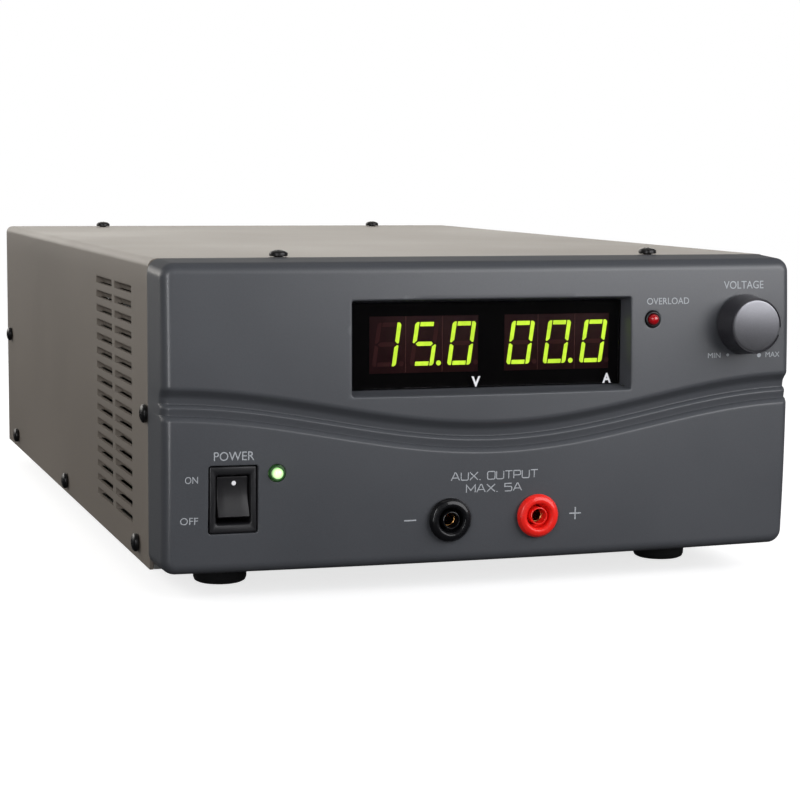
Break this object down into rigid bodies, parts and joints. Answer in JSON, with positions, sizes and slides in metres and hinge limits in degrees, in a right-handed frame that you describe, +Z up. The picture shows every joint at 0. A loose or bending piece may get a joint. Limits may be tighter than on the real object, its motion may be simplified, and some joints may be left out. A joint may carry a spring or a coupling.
{
  "type": "bench power supply",
  "caption": "Benchtop DC power supply in a folded steel case with a curved plastic front, lit meters, a voltage knob, a power rocker, small front sockets and heavy rear terminals.",
  "frame": {"origin": "under the middle of the whole object, on the surface that it stands on", "axes": "+X to the right seen from the front, +Y towards the back along the length of the case, +Z up; the front faces -Y"},
  "size_m": [0.2238, 0.3924, 0.1121],
  "materials": {
    "bezel_plastic": "fine-grained satin moulding, charcoal",
    "display_filter": "dark smoked filter, smooth",
    "digit_module": "dark red-brown face",
    "circuit_board": "green solder resist",
    "green_lamp": "clear green dome, lit",
    "red_lamp": "red dome, unlit",
    "plated_steel": "nickel plated",
    "knob_plastic": "satin black",
    "switch_plastic": "black, lightly polished",
    "black_insulator": "polished black",
    "red_insulator": "polished red",
    "brass_contact": "machined",
    "cover_paint": "fine textured warm grey enamel",
    "zinc_sheet": "zinc plated sheet",
    "fan_plastic": "black",
    "guard_chrome": "bright plated wire",
    "inlet_plastic": "black",
    "heatsink_aluminium": "extruded, plain",
    "transformer_core": "ferrite and tape",
    "capacitor_sleeve": "dark blue sleeve",
    "copper_winding": "enamelled copper",
    "foot_rubber": "matte black",
    "screw_black": "black oxide, slightly glossy"
  },
  "bodies": {
    "case": {"front_bezel": "bezel_plastic", "display_lens": "display_filter", "voltage_digits": "digit_module", "current_digits": "digit_module", "display_board": "circuit_board", "power_led": "green_lamp", "overload_led": "red_lamp", "voltage_pot": "plated_steel", "pot_nut": "plated_steel", "switch_body": "switch_plastic", "aux_socket_negative": "black_insulator", "aux_contact_negative": "brass_contact", "aux_socket_positive": "red_insulator", "aux_contact_positive": "brass_contact", "top_cover": "cover_paint", "chassis": "zinc_sheet", "fan_frame": "fan_plastic", "fan_guard": "guard_chrome", "mains_inlet": "inlet_plastic", "fuse_holder": "inlet_plastic", "terminal_base_negative": "black_insulator", "terminal_stud_negative": "brass_contact", "terminal_base_positive": "red_insulator", "terminal_stud_positive": "brass_contact", "main_board": "circuit_board", "heatsink": "heatsink_aluminium", "power_transformer": "transformer_core", "bulk_capacitor": "capacitor_sleeve", "output_choke": "copper_winding", "screw_top_front_left": "screw_black", "screw_top_rear_left": "screw_black", "screw_left_front_mid": "screw_black", "screw_left_front_low": "screw_black", "screw_left_mid_low": "screw_black", "screw_left_rear_low": "screw_black", "screw_left_rear_mid": "screw_black", "screw_top_front_right": "screw_black", "screw_top_rear_right": "screw_black", "screw_right_front_mid": "screw_black", "screw_right_front_low": "screw_black", "screw_right_mid_low": "screw_black", "screw_right_rear_low": "screw_black", "screw_right_rear_mid": "screw_black", "fan_screw_low_left": "screw_black", "fan_screw_high_left": "screw_black", "fan_screw_low_right": "screw_black", "fan_screw_high_right": "screw_black", "foot_front_left": "foot_rubber", "foot_rear_left": "foot_rubber", "foot_front_right": "foot_rubber", "foot_rear_right": "foot_rubber"},
    "rocker": {"power_rocker": "switch_plastic"},
    "knob": {"voltage_knob": "knob_plastic", "pot_shaft": "plated_steel"},
    "fan_rotor": {"fan_rotor": "fan_plastic"},
    "fuse_cap": {"fuse_cap": "inlet_plastic"},
    "washer_negative": {"terminal_washer_negative": "plated_steel"},
    "nut_negative": {"terminal_nut_negative": "black_insulator"},
    "washer_positive": {"terminal_washer_positive": "plated_steel"},
    "nut_positive": {"terminal_nut_positive": "red_insulator"}
  },
  "joints": [
    {"name": "power_rocker_tilt", "type": "hinge", "parent": "case", "child": "rocker", "pos_m": [-0.0869, -0.18069, 0.0344], "axis": [1, 0, 0], "range_deg": [0, 22]},
    {"name": "voltage_knob_turn", "type": "hinge", "parent": "case", "child": "knob", "pos_m": [0.0905, -0.19198, 0.0871], "axis": [0, 1, 0], "range_deg": [-249, 51]},
    {"name": "fan_spin", "type": "hinge", "parent": "case", "child": "fan_rotor", "pos_m": [-0.052, 0.15502, 0.0602], "axis": [0, 1, 0], "continuous": true},
    {"name": "fuse_cap_turn", "type": "hinge", "parent": "case", "child": "fuse_cap", "pos_m": [0.08, 0.17403, 0.0752], "axis": [0, 1, 0], "range_deg": [0, 60]},
    {"name": "negative_washer_slide", "type": "slide", "parent": "case", "child": "washer_negative", "axis": [0, 1, 0], "range_m": [0, 0.005]},
    {"name": "negative_nut_turn", "type": "hinge", "parent": "washer_negative", "child": "nut_negative", "pos_m": [0.014, 0.18302, 0.0432], "axis": [0, 1, 0], "range_deg": [0, 1445]},
    {"name": "positive_washer_slide", "type": "slide", "parent": "case", "child": "washer_positive", "axis": [0, 1, 0], "range_m": [0, 0.005]},
    {"name": "positive_nut_turn", "type": "hinge", "parent": "washer_positive", "child": "nut_positive", "pos_m": [0.046, 0.18302, 0.0432], "axis": [0, 1, 0], "range_deg": [0, 1445]}
  ],
  "couplings": [
    {"joint": "negative_nut_turn", "follows": "negative_washer_slide", "rad_per_m": 5026.5},
    {"joint": "positive_nut_turn", "follows": "positive_washer_slide", "rad_per_m": 5026.5}
  ]
}
